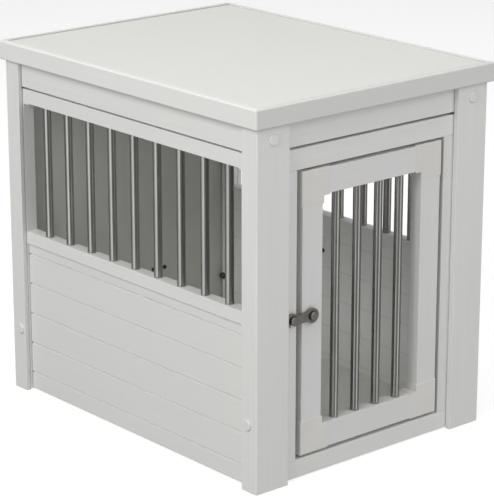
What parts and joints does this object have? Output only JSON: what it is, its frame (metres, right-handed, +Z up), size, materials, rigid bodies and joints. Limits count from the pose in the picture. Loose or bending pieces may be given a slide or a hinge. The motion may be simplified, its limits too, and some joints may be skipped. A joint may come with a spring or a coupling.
{
  "type": "dog crate end table",
  "caption": "Small white dog crate that doubles as an end table: flat top on corner legs, barred side windows over plank siding, solid back, barred front door with a drop latch.",
  "frame": {"origin": "on the ground, under the middle of the top", "axes": "+X to the right as seen from the door, +Y from the door to the back along the long side, +Z up; the door is in the -Y face"},
  "size_m": [0.462, 0.6, 0.56],
  "materials": {
    "top_white": "smooth white wood composite, faint lengthwise grain",
    "frame_white": "smooth white wood composite, faint lengthwise grain",
    "siding_white": "smooth white wood composite planks",
    "door_white": "smooth white wood composite extrusion",
    "floor_white": "smooth white wood composite",
    "connector_cream": "satin moulded plastic, slightly creamier than the boards",
    "cap_white": "satin moulded plastic",
    "bar_steel": "satin grey steel tube",
    "latch_nickel": "satin nickel",
    "fastener_steel": "dark plated steel",
    "pivot_steel": "plain steel",
    "bush_grey": "pale grey plastic"
  },
  "bodies": {
    "crate": {"apron_back": "frame_white", "apron_bolts": "fastener_steel", "apron_front": "frame_white", "apron_left": "frame_white", "apron_right": "frame_white", "back_board": "frame_white", "bolt_caps": "cap_white", "corner_blocks": "frame_white", "floor_ledges": "floor_white", "floor_panel": "floor_white", "front_header": "frame_white", "front_hinge_stile": "frame_white", "front_latch_stile": "frame_white", "front_sill": "frame_white", "keeper_spacer": "latch_nickel", "keeper_stud": "latch_nickel", "left_back_stile": "frame_white", "left_bars": "bar_steel", "left_corner_connectors": "connector_cream", "left_front_stile": "frame_white", "left_mid_rail": "frame_white", "left_siding": "siding_white", "left_top_rail": "frame_white", "leg_back_left": "frame_white", "leg_back_right": "frame_white", "leg_front_left": "frame_white", "leg_front_right": "frame_white", "pivot_pin_bottom": "pivot_steel", "pivot_pin_top": "pivot_steel", "right_back_stile": "frame_white", "right_bars": "bar_steel", "right_corner_connectors": "connector_cream", "right_front_stile": "frame_white", "right_mid_rail": "frame_white", "right_siding": "siding_white", "right_top_rail": "frame_white", "side_bolt_nuts": "fastener_steel", "side_bolts": "fastener_steel", "top_board": "top_white", "top_edge_back": "top_white", "top_edge_front": "top_white", "top_edge_left": "top_white", "top_edge_right": "top_white", "top_screws": "fastener_steel", "wall_screws": "fastener_steel"},
    "door": {"door_latch_stile": "door_white", "door_hinge_stile": "door_white", "door_top_rail": "door_white", "door_bottom_rail": "door_white", "door_bars": "bar_steel", "door_corner_bottom_latch": "connector_cream", "door_corner_top_latch": "connector_cream", "door_corner_bottom_hinge": "connector_cream", "door_corner_top_hinge": "connector_cream", "pivot_bush_top": "bush_grey", "pivot_bush_bottom": "bush_grey", "latch_pivot_stud": "latch_nickel", "latch_spacer": "latch_nickel"},
    "latch": {"latch_link": "latch_nickel"}
  },
  "joints": [
    {"name": "door_hinge", "type": "hinge", "parent": "crate", "child": "door", "pos_m": [0.1285, -0.2727, 0], "axis": [0, 0, 1], "range_deg": [0, 105]},
    {"name": "latch_pivot", "type": "hinge", "parent": "door", "child": "latch", "pos_m": [-0.1158, -0.2877, 0.2435], "axis": [0, 1, 0], "range_deg": [0, 270]}
  ]
}
